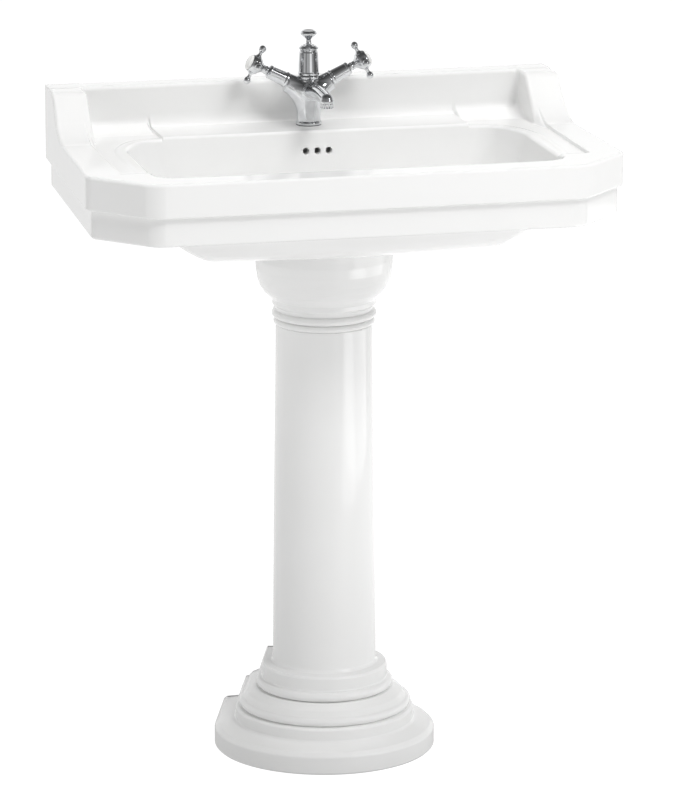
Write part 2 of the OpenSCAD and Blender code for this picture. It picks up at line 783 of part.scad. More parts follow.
basin();
pedestal();
pedestal_seal();
tap_gasket();
tap_body();
spout();
spout_nozzle();
aerator();
centre_bonnet();
bonnet_cap();
lift_rod();
lift_knob();
hot_valve();
cold_valve();
hot_bonnet();
cold_bonnet();
hot_spindle();
cold_spindle();
hot_handle();
cold_handle();
hot_index();
cold_index();
tap_stud();
rubber_washer();
clamp_plate();
clamp_nut();
hot_tail();
cold_tail();
hot_union();
cold_union();
waste_flange();
flange_seal();
lower_seal();
backnut();
waste_body();
plug();
plug_seal();
ball_rod();
pivot_nut();
strap();
strap_screw();
rod_clip();
trap_inlet_nut();
trap_inlet_seal();
trap_body();
trap_cup();
trap_cup_seal();
outlet_nut();
outlet_seal();
outlet_pipe();
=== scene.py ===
import json
import math

import bpy
import numpy as np
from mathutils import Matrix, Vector


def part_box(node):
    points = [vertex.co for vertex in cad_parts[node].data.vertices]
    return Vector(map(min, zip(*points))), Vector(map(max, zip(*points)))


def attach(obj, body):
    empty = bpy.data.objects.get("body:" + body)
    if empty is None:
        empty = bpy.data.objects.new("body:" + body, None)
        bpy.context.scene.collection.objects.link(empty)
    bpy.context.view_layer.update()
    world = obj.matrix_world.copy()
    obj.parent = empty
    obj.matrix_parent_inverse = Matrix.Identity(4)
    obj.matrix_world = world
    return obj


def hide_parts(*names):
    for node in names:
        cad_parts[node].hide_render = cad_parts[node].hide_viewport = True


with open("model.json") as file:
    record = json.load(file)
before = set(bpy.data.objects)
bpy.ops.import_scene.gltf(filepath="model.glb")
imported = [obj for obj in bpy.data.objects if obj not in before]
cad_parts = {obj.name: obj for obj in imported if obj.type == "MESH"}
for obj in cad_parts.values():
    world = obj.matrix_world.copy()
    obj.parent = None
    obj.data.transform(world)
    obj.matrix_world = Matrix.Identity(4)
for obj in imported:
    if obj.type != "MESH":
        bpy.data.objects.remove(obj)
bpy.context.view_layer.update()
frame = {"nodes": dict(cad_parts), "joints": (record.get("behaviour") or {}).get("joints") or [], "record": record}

MM = 0.001

# ---------------------------------------------------------------- places, in millimetres, from the CAD frame

def box_mm(node):
    lo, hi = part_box(node)
    return np.array(lo) * 1000, np.array(hi) * 1000

basin_lo, basin_hi = box_mm("basin")
ped_lo, ped_hi = box_mm("pedestal")
body_lo, body_hi = box_mm("tap_body")
rod_lo, rod_hi = box_mm("lift_rod")
knob_lo, knob_hi = box_mm("lift_knob")
nozzle_lo, nozzle_hi = box_mm("spout_nozzle")
gasket_hi = box_mm("tap_gasket")[1]
flange_lo, flange_hi = box_mm("waste_flange")
hole_mount = {m["name"]: m for m in frame["record"]["mounts"]}
joints = {j["name"]: j for j in frame["joints"]}

FRONT, WALL = basin_lo[1], basin_hi[1]
HALF_W = round(basin_hi[0])
TOP = basin_hi[2]
SPLASH_H = 62.5
RIM = TOP - SPLASH_H
TAP_Y = (rod_lo[1] + rod_hi[1]) / 2
TAP_Z = gasket_hi[2]
WASTE_Y = (flange_lo[1] + flange_hi[1]) / 2
ARM_Z = joints["hot_turn"]["pos_m"][2] * 1000
ARM = {-1: np.array(joints["hot_turn"]["axis"], float), 1: np.array(joints["cold_turn"]["axis"], float)}
FIX_X = hole_mount["wall_fixings"]["dims"]["spacing_x_mm"] / 2
FIX_Z = hole_mount["wall_fixings"]["pos_m"][2] * 1000
PED_TOP = ped_hi[2]
PED_Y = WALL - 180
FOOT_R = -ped_lo[0]


# ---------------------------------------------------------------- mesh helpers

def add_mesh(name, verts, faces, body, material, replaces=(), normals=None):
    """A smooth mesh from millimetre points, riding on a CAD body."""
    mesh = bpy.data.meshes.new(name)
    verts = np.asarray(verts, float)
    mesh.from_pydata((verts * MM).tolist(), [], [tuple(int(i) for i in f) for f in faces])
    mesh.polygons.foreach_set("use_smooth", np.ones(len(mesh.polygons), bool))
    mesh.update()
    if normals is None:
        normals = area_normals(verts, faces)
    mesh.normals_split_custom_set_from_vertices(np.asarray(normals, float).tolist())
    mesh.materials.append(material)
    obj = bpy.data.objects.new(name, mesh)
    bpy.context.scene.collection.objects.link(obj)
    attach(obj, body)
    if replaces:
        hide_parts(*replaces)
    return obj


def area_normals(verts, faces):
    """Vertex normals weighted by face area, so flats stay flat beside small fillets."""
    total = np.zeros_like(verts)
    for size in sorted(set(len(f) for f in faces)):
        group = np.array([f for f in faces if len(f) == size], int)
        a, b, c = verts[group[:, 0]], verts[group[:, 1]], verts[group[:, 2]]
        if size == 3:
            n = np.cross(b - a, c - a)
        else:
            d = verts[group[:, 3]]
            n = np.cross(c - a, d - b)
        for k in range(size):
            for axis in range(3):
                total[:, axis] += np.bincount(group[:, k], n[:, axis], len(verts))
    length = np.linalg.norm(total, axis=1, keepdims=True)
    return total / np.maximum(length, 1e-12)


def fillet(points, n=5):
    """A 2-D outline from (x, y, radius) points, with each corner rounded."""
    out = []
    for i, (x, y, r) in enumerate(points):
        p = np.array((x, y), float)
        if r <= 0 or i in (0, len(points) - 1):
            out.append(p)
            continue
        a = np.array(points[i - 1][:2], float) - p
        b = np.array(points[i + 1][:2], float) - p
        la, lb = np.linalg.norm(a), np.linalg.norm(b)
        ua, ub = a / la, b / lb
        half = math.acos(max(-1, min(1, float(ua @ ub)))) / 2
        if half > math.pi / 2 - 0.02:
            out.append(p)
            continue
        cut = min(r / math.tan(half), la * 0.49, lb * 0.49)
        rr = cut * math.tan(half)
        mid = (ua + ub) / np.linalg.norm(ua + ub)
        centre = p + mid * rr / math.sin(half)
        p0, p1 = p + ua * cut, p + ub * cut
        v0, v1 = (p0 - centre), (p1 - centre)
        t0 = math.atan2(v0[1], v0[0])
        turn = math.atan2(v0[0] * v1[1] - v0[1] * v1[0], float(v0 @ v1))
        for k in range(n + 1):
            t = t0 + turn * k / n
            out.append(centre + rr * np.array((math.cos(t), math.sin(t))))
    return np.array(out)


def lathe(profile, n=72, shape=None):
    """Vertices and faces of a turned piece from an (r, z) outline closed to the axis; shape(theta, r, z) may
    change r."""
    rows = []
    theta = np.arange(n) * 2 * math.pi / n
    verts, faces = [], []
    for r, z in profile:
        if r < 1e-6:
            rows.append([len(verts)])
            verts.append((0.0, 0.0, z))
        else:
            rr = np.full(n, float(r)) if shape is None else shape(theta, r, z)
            rows.append(list(range(len(verts), len(verts) + n)))
            verts += list(zip(rr * np.cos(theta), rr * np.sin(theta), np.full(n, float(z))))
    for a, b in zip(rows[:-1], rows[1:]):
        for i in range(n):
            j = (i + 1) % n
            if len(a) == 1 and len(b) == 1:
                break
            if len(a) == 1:
                faces.append((a[0], b[j], b[i]))
            elif len(b) == 1:
                faces.append((a[i], a[j], b[0]))
            else:
                faces.append((a[i], a[j], b[j], b[i]))
    return np.array(verts), faces


def loop_lathe(profile, n=72, shape=None):
    """A turned ring: the (r, z) outline is a closed loop that stays off the axis."""
    theta = np.arange(n) * 2 * math.pi / n
    m = len(profile)
    verts, faces = [], []
    for r, z in profile:
        rr = np.full(n, float(r)) if shape is None else shape(theta, r, z)
        verts += list(zip(rr * np.cos(theta), rr * np.sin(theta), np.full(n, float(z))))
    for k in range(m):
        k2 = (k + 1) % m
        for i in range(n):
            j = (i + 1) % n
            faces.append((k * n + i, k * n + j, k2 * n + j, k2 * n + i))
    return np.array(verts), faces


def closed_fillet(points, n=4):
    """As fillet, for a closed loop."""
    k = len(points)
    out = []
    for i in range(k):
        tri = [points[i - 1], points[i], points[(i + 1) % k]]
        part = fillet([(tri[0][0], tri[0][1], 0), tri[1], (tri[2][0], tri[2][1], 0)], n)
        out += list(part[1:-1])
    return np.array(out)


def frame_of(axis):
    """A rotation whose third column is the axis and whose second is +Y as far as it can be."""
    w = np.array(axis, float) / np.linalg.norm(axis)
    v = np.array((0, 1, 0.0))
    v = v - w * (v @ w)
    v /= np.linalg.norm(v)
    return np.stack([np.cross(v, w), v, w], 1)


def place(verts, rot=np.eye(3), at=(0, 0, 0)):
    return verts @ rot.T + np.array(at, float)


def smooth_path(points, n):
    """n points along a Catmull-Rom curve through the given ones."""
    p = np.array(points, float)
    p = np.vstack([2 * p[0] - p[1], p, 2 * p[-1] - p[-2]])
    out = []
    for u in np.linspace(0, len(points) - 1, n):
        i = min(int(u), len(points) - 2)
        t = u - i
        a, b, c, d = p[i:i + 4]
        out.append(0.5 * (2 * b + (c - a) * t + (2 * a - 5 * b + 4 * c - d) * t * t
                          + (3 * b - a - 3 * c + d) * t ** 3))
    return np.array(out)


# ---------------------------------------------------------------- distance fields, meshed by surface nets

def cut(a, b, r):
    """Intersection of two fields with a convex round of radius r."""
    return np.minimum(-r, np.maximum(a, b)) + np.hypot(np.maximum(a + r, 0), np.maximum(b + r, 0))


def weld(a, b, r):
    """Union of two fields with a concave round of radius r."""
    return np.maximum(r, np.minimum(a, b)) - np.hypot(np.maximum(r - a, 0), np.maximum(r - b, 0))


def spans(*parts):
    """A grid axis from (start, stop, pitch) stretches."""
    out = []
    for a, b, h in parts:
        n = max(1, int(round((b - a) / h)))
        out += list(np.linspace(a, b, n, endpoint=False))
    return np.array(out + [parts[-1][1]])


def surface(field, xs, ys, zs, relax=3):
    """Quads on the zero surface of field(x, y, z), with exact normals."""
    values = np.empty((len(xs), len(ys), len(zs)), np.float32)
    yy, zz = np.meshgrid(ys, zs, indexing="ij")
    step = 12
    for i in range(0, len(xs), step):
        x = xs[i:i + step][:, None, None]
        values[i:i + step] = field(x + 0 * yy, yy + 0 * x, zz + 0 * x)
    inside = values < 0
    corner = [(a, b, c) for a in (0, 1) for b in (0, 1) for c in (0, 1)]
    nx, ny, nz = (n - 1 for n in values.shape)
    count = sum(inside[a:a + nx, b:b + ny, c:c + nz].astype(np.int8) for a, b, c in corner)
    cells = np.argwhere((count > 0) & (count < 8))
    index = np.full((nx, ny, nz), -1, np.int64)
    index[tuple(cells.T)] = np.arange(len(cells))
    axes = (xs, ys, zs)
    val = [values[cells[:, 0] + a, cells[:, 1] + b, cells[:, 2] + c].astype(float) for a, b, c in corner]
    pos = [np.stack([axes[k][cells[:, k] + o[k]] for k in range(3)], 1) for o in corner]
    total, hits = np.zeros((len(cells), 3)), np.zeros(len(cells))
    for p in range(8):
        for q in range(p + 1, 8):
            if sum(abs(corner[p][k] - corner[q][k]) for k in range(3)) != 1:
                continue
            cross = (val[p] < 0) != (val[q] < 0)
            t = np.where(cross, val[p] / np.where(cross, val[p] - val[q], 1), 0)[:, None]
            total += np.where(cross[:, None], pos[p] + (pos[q] - pos[p]) * t, 0)
            hits += cross
    verts = total / hits[:, None]
    quads = []
    for axis in range(3):
        lo = [slice(1, -1)] * 3
        hi = [slice(1, -1)] * 3
        lo[axis], hi[axis] = slice(None, -1), slice(1, None)
        change = inside[tuple(lo)] != inside[tuple(hi)]
        first = np.argwhere(change)
        first[:, [k for k in range(3) if k != axis]] += 1
        u, v = [(1, 2), (2, 0), (0, 1)][axis]
        def cell(du, dv):
            c = first.copy()
            c[:, u] += du
            c[:, v] += dv
            return index[tuple(c.T)]
        q = np.stack([cell(-1, -1), cell(0, -1), cell(0, 0), cell(-1, 0)], 1)
        solid_first = inside[tuple(first.T)]
        q[~solid_first] = q[~solid_first][:, ::-1]
        quads.append(q)
    quads = np.concatenate(quads)

    def gradient(p, e=0.05):
        g = np.empty_like(p)
        for k in range(3):
            d = np.zeros(3)
            d[k] = e
            a, b = p + d, p - d
            g[:, k] = (field(a[:, 0], a[:, 1], a[:, 2]) - field(b[:, 0], b[:, 1], b[:, 2])) / (2 * e)
        return g

    def project(p):
        g = gradient(p)
        f = field(p[:, 0], p[:, 1], p[:, 2])
        move = -g * (f / np.maximum((g * g).sum(1), 0.05))[:, None]
        size = np.linalg.norm(move, axis=1, keepdims=True)
        return p + move * np.minimum(1, 2.0 / np.maximum(size, 1e-9))

    pairs = np.concatenate([quads[:, [k, (k + 1) % 4]] for k in range(4)])
    edges = np.unique(np.sort(pairs, axis=1), axis=0)
    degree = np.bincount(edges.ravel(), minlength=len(verts))[:, None]
    for _ in range(2):
        verts = project(verts)
    for _ in range(relax):
        mean = np.zeros_like(verts)
        for k in range(3):
            mean[:, k] = (np.bincount(edges[:, 0], verts[edges[:, 1], k], len(verts))
                          + np.bincount(edges[:, 1], verts[edges[:, 0], k], len(verts)))
        verts = verts + 0.5 * (mean / degree - verts)
        verts = project(verts)
    verts = project(verts)
    normals = gradient(verts, 0.12)
    normals /= np.maximum(np.linalg.norm(normals, axis=1, keepdims=True), 1e-9)
    return verts, quads.tolist(), normals


# ---------------------------------------------------------------- materials

def nodes_of(name):
    m = bpy.data.materials.new(name)
    m.use_nodes = True
    tree = m.node_tree
    shader = tree.nodes["Principled BSDF"]
    coord = tree.nodes.new("ShaderNodeTexCoord")
    return m, tree, shader, coord.outputs["Object"]


def noise(tree, where, scale, detail=2.0, rough=0.5, stretch=None):
    src = where
    if stretch is not None:
        mapping = tree.nodes.new("ShaderNodeMapping")
        mapping.inputs["Scale"].default_value = stretch
        tree.links.new(where, mapping.inputs["Vector"])
        src = mapping.outputs["Vector"]
    n = tree.nodes.new("ShaderNodeTexNoise")
    n.inputs["Scale"].default_value = scale
    n.inputs["Detail"].default_value = detail
    n.inputs["Roughness"].default_value = rough
    tree.links.new(src, n.inputs["Vector"])
    return n.outputs["Fac"]


def ramp(tree, fac, stops):
    r = tree.nodes.new("ShaderNodeValToRGB")
    ends = r.color_ramp.elements
    ends[0].position, ends[0].color = stops[0][0], (*stops[0][1], 1)
    ends[1].position, ends[1].color = stops[-1][0], (*stops[-1][1], 1)
    for at, colour in stops[1:-1]:
        ends.new(at).color = (*colour, 1)
    tree.links.new(fac, r.inputs["Fac"])
    return r.outputs["Color"]


def greys(*stops):
    """Ramp stops from (position, grey level) pairs."""
    return [(at, (v, v, v)) for at, v in stops]


def spread(tree, fac, lo, hi, a=0.35, b=0.65):
    n = tree.nodes.new("ShaderNodeMapRange")
    n.clamp = True
    n.inputs["From Min"].default_value = a
    n.inputs["From Max"].default_value = b
    n.inputs["To Min"].default_value = lo
    n.inputs["To Max"].default_value = hi
    tree.links.new(fac, n.inputs["Value"])
    return n.outputs["Result"]


def blend(tree, a, b, amount=1.0):
    """Colour a darkened by colour b."""
    m = tree.nodes.new("ShaderNodeMix")
    m.data_type = "RGBA"
    m.blend_type = "MULTIPLY"
    m.inputs["Factor"].default_value = amount
    tree.links.new(a, m.inputs[6])
    tree.links.new(b, m.inputs[7])
    return m.outputs[2]


def bumps(tree, shader, layers):
    """layers: (height socket, strength, distance in metres)."""
    last = None
    for height, strength, distance in layers:
        b = tree.nodes.new("ShaderNodeBump")
        b.inputs["Strength"].default_value = strength
        b.inputs["Distance"].default_value = distance
        tree.links.new(height, b.inputs["Height"])
        if last is not None:
            tree.links.new(last, b.inputs["Normal"])
        last = b.outputs["Normal"]
    tree.links.new(last, shader.inputs["Normal"])


def make_glaze(name, light, dark, rough=0.05, wave=0.00018):
    m, tree, shader, at = nodes_of(name)
    broad = noise(tree, at, 7, 3)
    fine = noise(tree, at, 900, 2)
    tree.links.new(ramp(tree, broad, [(0.3, dark), (0.7, light)]), shader.inputs["Base Color"])
    tree.links.new(spread(tree, noise(tree, at, 38, 4), rough, rough + 0.035), shader.inputs["Roughness"])
    shader.inputs["IOR"].default_value = 1.52
    bumps(tree, shader, [(noise(tree, at, 22, 1), 0.25, wave), (fine, 0.05, 0.00002)])
    return m


def make_metal(name, light, dark, rough, grain, bump, stretch=None, scratch=0.12, streak=240):
    m, tree, shader, at = nodes_of(name)
    shader.inputs["Metallic"].default_value = 1.0
    colour = ramp(tree, noise(tree, at, 60, 4), [(0.35, dark), (0.62, light)])
    tree.links.new(colour, shader.inputs["Base Color"])
    wear = spread(tree, noise(tree, at, grain, 5, 0.6, stretch), rough[0], rough[1])
    tree.links.new(wear, shader.inputs["Roughness"])
    bumps(tree, shader, [(noise(tree, at, streak, 3, 0.6, stretch), scratch, bump),
                         (noise(tree, at, 1900, 2), 0.08, bump * 0.3)])
    return m


def make_soft(name, light, dark, rough, scale=260, bump=0.0002, strength=0.35):
    m, tree, shader, at = nodes_of(name)
    colour = ramp(tree, noise(tree, at, 45, 4), [(0.3, dark), (0.7, light)])
    tree.links.new(colour, shader.inputs["Base Color"])
    tree.links.new(spread(tree, noise(tree, at, 90, 3), rough[0], rough[1]), shader.inputs["Roughness"])
    bumps(tree, shader, [(noise(tree, at, scale, 5, 0.65), strength, bump)])
    return m


MAT = {
    "glaze": make_glaze("glazed_china", (0.885, 0.885, 0.88), (0.87, 0.87, 0.863)),
    "index_glaze": make_glaze("index_porcelain", (0.90, 0.90, 0.89), (0.875, 0.875, 0.86), wave=0.00005),
    "chrome": make_metal("polished_chrome", (0.80, 0.81, 0.825), (0.72, 0.73, 0.745), (0.025, 0.085), 130,
                         0.00002, scratch=0.10),
    "brass": make_metal("machined_brass", (0.80, 0.60, 0.30), (0.52, 0.36, 0.16), (0.20, 0.38), 320,
                        0.00006, (1, 1, 7), 0.35),
    "copper": make_metal("drawn_copper", (0.80, 0.43, 0.27), (0.48, 0.22, 0.13), (0.18, 0.42), 220,
                         0.00005, (5, 5, 0.7), 0.3),
    "steel": make_metal("zinc_plated_steel", (0.64, 0.65, 0.67), (0.42, 0.43, 0.46), (0.26, 0.45), 400,
                        0.00006, (1, 1, 5), 0.35),
    "rubber": make_soft("black_rubber", (0.035, 0.035, 0.036), (0.018, 0.018, 0.018), (0.55, 0.75)),
    "sealant": make_soft("white_silicone", (0.80, 0.80, 0.785), (0.72, 0.72, 0.70), (0.32, 0.45), 120,
                         0.0002),
    "mesh": make_soft("grey_acetal", (0.42, 0.43, 0.44), (0.30, 0.31, 0.32), (0.35, 0.5), 500, 0.0001),
}
node_slot = {p["node"]: p["material_slot"] for p in frame["record"]["subparts"]}
for node, obj in frame["nodes"].items():
    obj.data.materials.clear()
    obj.data.materials.append(MAT[node_slot[node]])


# ---------------------------------------------------------------- basin

WARE = 14.0                                  # thickness of the china
BAND_Z, SKIRT_Z = RIM - 50, RIM - 92.5       # undersides of the fascia's upper and lower band
LOWER_INSET = 8.0                            # how far the lower band stands back from the upper
FRONT_HALF, CORNER_DEPTH = 318, 87           # half width of the front edge, depth of the cut corners
SIDE_WALL, DEPTH = HALF_W - 13, 485          # half width at the wall, depth of the basin
BOWL_DEPTH = 143
HOLE_Z, HOLE_R, HOLE_STEP = RIM - 30, 4.75, 17.5   # the three overflow holes
TAP_HOLE_R, DRAIN_R, WALL_HOLE_R = 17.5, 22, 7


def plan_lines(inset):
    """Outward distance functions of the basin's plan: front, both cut corners and both sides."""
    def line(p, q, sign):
        (x0, y0), (x1, y1) = p, q
        nx, ny = (y1 - y0), -(x1 - x0)
        size = math.hypot(nx, ny)
        return lambda x, y: ((sign * x - x0) * nx + (y - FRONT - y0) * ny) / size + inset
    front = lambda x, y: FRONT - y + inset
    cuts = [line((FRONT_HALF, 0), (HALF_W, CORNER_DEPTH), s) for s in (1, -1)]
    sides = [line((HALF_W, CORNER_DEPTH), (SIDE_WALL, DEPTH), s) for s in (1, -1)]
    return front, cuts, sides


def plan_field(x, y, inset, corner, side_round, back=0.0, back_round=3.0):
    front, cuts, sides = plan_lines(inset)
    d = front(x, y)
    for c in cuts:
        d = cut(d, c(x, y), corner)
    for s in sides:
        d = cut(d, s(x, y), side_round)
    return cut(d, y - (WALL - back), back_round)


def smooth(t):
    t = np.clip(t, 0, 1)
    return t * t * (3 - 2 * t)


def deck_height(x, y):
    """Height of the deck: the rim and the raised tap ledge, with shallow trays beside the bowl and in the
    rear corners. The ledge ends in a short steep step; behind it the tray climbs to the splashback."""
    u, v = np.abs(x), y - FRONT
    tray = smooth((348.5 - u) / 2.6) * smooth((u - 233.6) / 1.7) * smooth((v - 92) / 9.0)
    climb = np.clip((v - 398.0) / 47.0, 0, 1) ** 1.5 * smooth((u - 234.0) / 6.0)
    return RIM - 5.0 * tray + 10.0 * climb * tray


def bowl_field(x, y, z, t):
    """The bowl's hollow, grown by t: tilted walls, cut corners and a floor that falls to the waste."""
    u, v, k = np.abs(x), y - FRONT, np.maximum(RIM - z, 0)
    lean = 0.20 * k + 0.0013 * k * k
    side = (u - 303 + lean * 1.15) * 0.95
    front = (50 - v + lean * 0.95) * 0.95
    rear = (v - 350 + 0.15 * k) * 0.98
    corner = (u - 261) * 0.7 + (v - 352) * 0.714 + 0.62 * lean
    front_corner = ((u - 285) + (50 - v)) / math.sqrt(2) + lean * 1.2
    rad = 6 + 0.28 * np.minimum(k, 90)
    f = cut(side - t, front - t, rad + t * 0.5)
    f = cut(f, front_corner - t, 10 + t)
    f = cut(f, corner - t, 26 + 0.2 * np.minimum(k, 80) + t * 0.3)
    f = cut(f, rear - t, 10 + 0.15 * np.minimum(k, 80) + t * 0.3)
    away = np.hypot(x * 0.85, (y - WASTE_Y))
    floor_z = RIM - BOWL_DEPTH + 0.035 * np.maximum(away - 30, 0) + 0.00002 * away * away
    return cut(f, floor_z - z - t, 62 + t * 0.6)


def basin_field(x, y, z):
    u, v = np.abs(x), y - FRONT
    deck = z - deck_height(x, y)
    splash = cut((447 - v) * 0.985 + (RIM + SPLASH_H - z) * 0.06, z - TOP, 6.0)
    slope = ((408 - v) + (z - TOP) * 0.93) / math.hypot(1, 0.93)
    wing = cut(cut(slope, z - TOP, 7.0), 337 - u, 5.0)
    upstand = weld(splash, wing, 7.0)
    r = 4 + (5 + 8 * smooth((240 - u) / 8.0)) * smooth((v - 405) / 16.0) * smooth((345 - u) / 8.0)
    r = r + 22 * smooth((u - 337) / 8.0) * smooth((420 - v) / 20.0)
    top = weld(deck, upstand, r)
    plan = plan_field(x, y, 0.0, 13.0, 7.0)
    upper = cut(cut(top, plan, 4.5), BAND_Z - z, 2.2)
    lower_plan = plan_field(x, y, LOWER_INSET, 11.0, 6.0)
    lower = cut(cut(lower_plan, z - (BAND_Z + 12), 1.0), SKIRT_Z - z, 3.0)
    body = weld(upper, lower, 1.2)
    hollow = cut(plan_field(x, y, LOWER_INSET + WARE, 10.0, 10.0, WARE, 8.0), z - (RIM - WARE), 10.0)
    body = cut(body, -hollow, 3.0)
    shell = cut(bowl_field(x, y, z, WARE), z - (RIM - 8), 1.0)
    body = weld(body, shell, 9.0)
    duct = cut(cut(u - 36, cut(345 - v, v - 379, 2.0), 3.0), cut(RIM - 49 - z, z - (RIM - 8), 2.0), 3.0)
    body = weld(body, duct, 3.0)
    ring_r = np.hypot(x, y - PED_Y)
    seat = cut(cut(np.abs(ring_r - 94) - 6, PED_TOP + 2 - z, 1.0), z - (PED_TOP + 24), 1.0)
    seat = cut(seat, v - 322, 1.0)
    body = weld(body, seat, 4.0)
    body = cut(body, -bowl_field(x, y, z, 0.0), 5.0)
    drain = np.hypot(x, y - WASTE_Y)
    body = cut(body, -cut(drain - 33, RIM - BOWL_DEPTH - z, 0.5), 2.0)
    body = cut(body, -(drain - DRAIN_R), 1.0)
    tap_hole = np.hypot(x, y - TAP_Y) - TAP_HOLE_R
    body = cut(body, -tap_hole, 1.0)
    near = np.minimum(u, np.abs(u - HOLE_STEP))
    hole = cut(np.hypot(near, z - HOLE_Z) - HOLE_R, cut(300 - v, v - 366, 1.0), 1.0)
    duct_hollow = cut(cut(u - 29, cut(359.5 - v, v - 373, 2.0), 2.0),
                      cut(RIM - 44 - z, z - (RIM - 16), 2.0), 2.0)
    body = cut(body, -weld(hole, duct_hollow, 0.8), 0.9)
    wall_hole = cut(np.hypot(u - FIX_X, z - FIX_Z) - WALL_HOLE_R, 440 - v, 1.0)
    return cut(body, -wall_hole, 1.0)


k = 1.0
half = spans((26, 228, 3.2 * k), (228, 241, 1.0 * k), (241, 328, 3.0 * k), (328, 352, 1.7 * k),
             (352, HALF_W - 24, 3.2 * k), (HALF_W - 24, HALF_W + 4, 2.4 * k))
xs = np.concatenate([-half[::-1], spans((-26, 26, 1.3 * k))[1:-1], half])
ys = spans((FRONT - 4, FRONT + 12, 1.6 * k), (FRONT + 12, FRONT + 330, 3.2 * k),
           (FRONT + 330, FRONT + 366, 2.0 * k), (FRONT + 366, FRONT + 426, 2.8 * k),
           (FRONT + 426, FRONT + 452, 2.0 * k), (FRONT + 452, WALL + 4, 3.0 * k))
zs = spans((PED_TOP - 4, SKIRT_Z - 3, 3.2 * k), (SKIRT_Z - 3, SKIRT_Z + 8, 1.6 * k),
           (SKIRT_Z + 8, BAND_Z - 4, 3.0 * k),
           (BAND_Z - 4, BAND_Z + 8, 1.3 * k), (BAND_Z + 8, RIM - 38, 3.0 * k), (RIM - 38, RIM - 22, 1.4 * k),
           (RIM - 22, RIM - 9, 2.2 * k), (RIM - 9, RIM + 4, 1.2 * k), (RIM + 4, TOP - 9, 3.0 * k),
           (TOP - 9, TOP + 4, 1.8 * k))
v_, f_, n_ = surface(basin_field, xs, ys, zs)
v_[:, 1] = np.clip(v_[:, 1], FRONT, WALL)
v_[:, 0] = np.clip(v_[:, 0], -HALF_W, HALF_W)
v_[:, 2] = np.minimum(v_[:, 2], TOP)
add_mesh("basin_ware", v_, f_, "fixed", MAT["glaze"], ("basin",), n_)


# ---------------------------------------------------------------- pedestal

SIDE_ANGLE = math.radians(18.4)
NECK_R, SHAFT_R, CAP_R = 72.5, 78.0, 103.0


def half_round(z0, z1, r, n=8):
    """Profile points of a torus bead of outside radius r."""
    h = (z1 - z0) / 2
    return [(r - h + h * math.sin(math.pi * i / n), z0 + h - h * math.cos(math.pi * i / n), 0)
            for i in range(n + 1)]


foot = [(FOOT_R - 2.5, 0, 0), (FOOT_R, 2.5, 2), (FOOT_R, 27.5, 5.5), (FOOT_R - 6, 33.5, 4),
        (FOOT_R - 29, 41, 5), (135.5, 44, 2), (135, 59, 3), (131.5, 61.5, 1), (127, 62.3, 1)]
mid = half_round(62.5, 76, 130.5) + [(123, 77.5, 1.5), (117.5, 84, 6), (108, 90, 5), (104, 92.2, 0.8)]
top_foot = half_round(92.5, 107, 103.5) + [(96.5, 108.2, 0.8), (95, 110, 1.5), (95, 127, 2.5),
                                           (92.5, 130.5, 1.5), (81, 132.5, 2.5)]
shaft = [(SHAFT_R + 0.2, 137, 5), (SHAFT_R - 0.3, 180, 0)]
shaft += [(SHAFT_R - 0.4 - (SHAFT_R - NECK_R - 0.4) * ((z - 180) / 460.0) ** 1.4, z, 0)
          for z in range(210, 641, 30)]
neck = [(NECK_R, 656, 1.2)] + half_round(656.5, 666.3, 75.8) + [(72.4, 666.8, 0.6)]
neck += half_round(667.2, 678.6, 78.2)
neck += [(73.0, 679.6, 0.8), (73.6, 684.5, 2.5), (77.4, 688.4, 1.2), (77.8, 695, 1.5)]
cup = [(80.6, 698.6, 3), (86, 704, 6), (91.4, 709, 8), (96.4, 717, 8), (99.8, 728, 8), (102, 743, 8),
       (CAP_R, 758, 6), (CAP_R, PED_TOP - 0.3, 2.5), (CAP_R - 4, PED_TOP, 0)]
profile = fillet(foot + mid + top_foot + shaft + neck + cup, 4)
inner = fillet([(FOOT_R - 20, 0, 0), (FOOT_R - 20, 30, 8), (118, 38, 6), (116, 70, 6), (94, 88, 8),
                (86, 104, 6), (80, 122, 5), (62, 130, 8), (61.5, 200, 0), (60.5, 400, 0), (59, 650, 20),
                (61, 692, 10), (76, 714, 12), (86, 730, 12), (89, PED_TOP - 4, 4),
                (CAP_R - 6, PED_TOP, 0)], 4)


def ped_path(r, back, n=88, m=10):
    """Half-open plan of radius r: a round front whose sides close in towards the back."""
    x0, y0 = r * math.cos(SIDE_ANGLE), r * math.sin(SIDE_ANGLE)
    x1 = x0 - (back - y0) * math.tan(SIDE_ANGLE)
    left = [(-x1 + (x1 - x0) * i / m, back + (y0 - back) * i / m) for i in range(m)]
    arc = [(r * math.cos(t), r * math.sin(t)) for t in
           np.linspace(math.pi - SIDE_ANGLE, 2 * math.pi + SIDE_ANGLE, n + 1)]
    return np.array(left + arc + [(-p[0], p[1]) for p in left[::-1]])


def pedestal_mesh():
    outer_rows = [ped_path(r, 0.98 * r) for r, z in profile]
    outer_z = profile[:, 1]
    cols = len(outer_rows[0])
    verts, faces, rows = [], [], []

    def add_row(points, z):
        rows.append(list(range(len(verts), len(verts) + len(points))))
        verts.extend([(x, PED_Y + y, z) for x, y in points])

    for row, z in zip(outer_rows, outer_z):
        add_row(row, z)
    order = np.argsort(profile[:, 1], kind="stable")
    back_of = lambda z: 0.98 * np.interp(z, profile[order, 1], profile[order, 0])
    for r, z in inner[::-1]:
        add_row(ped_path(r, float(back_of(z))), z)
    for a, b in zip(rows[:-1], rows[1:]):
        for i in range(cols - 1):
            faces.append((a[i], a[i + 1], b[i + 1], b[i]))
    a, b = rows[-1], rows[0]
    for i in range(cols - 1):
        faces.append((a[i], a[i + 1], b[i + 1], b[i]))
    return np.array(verts), faces, rows, len(profile)


pv, pf, prow, split = pedestal_mesh()
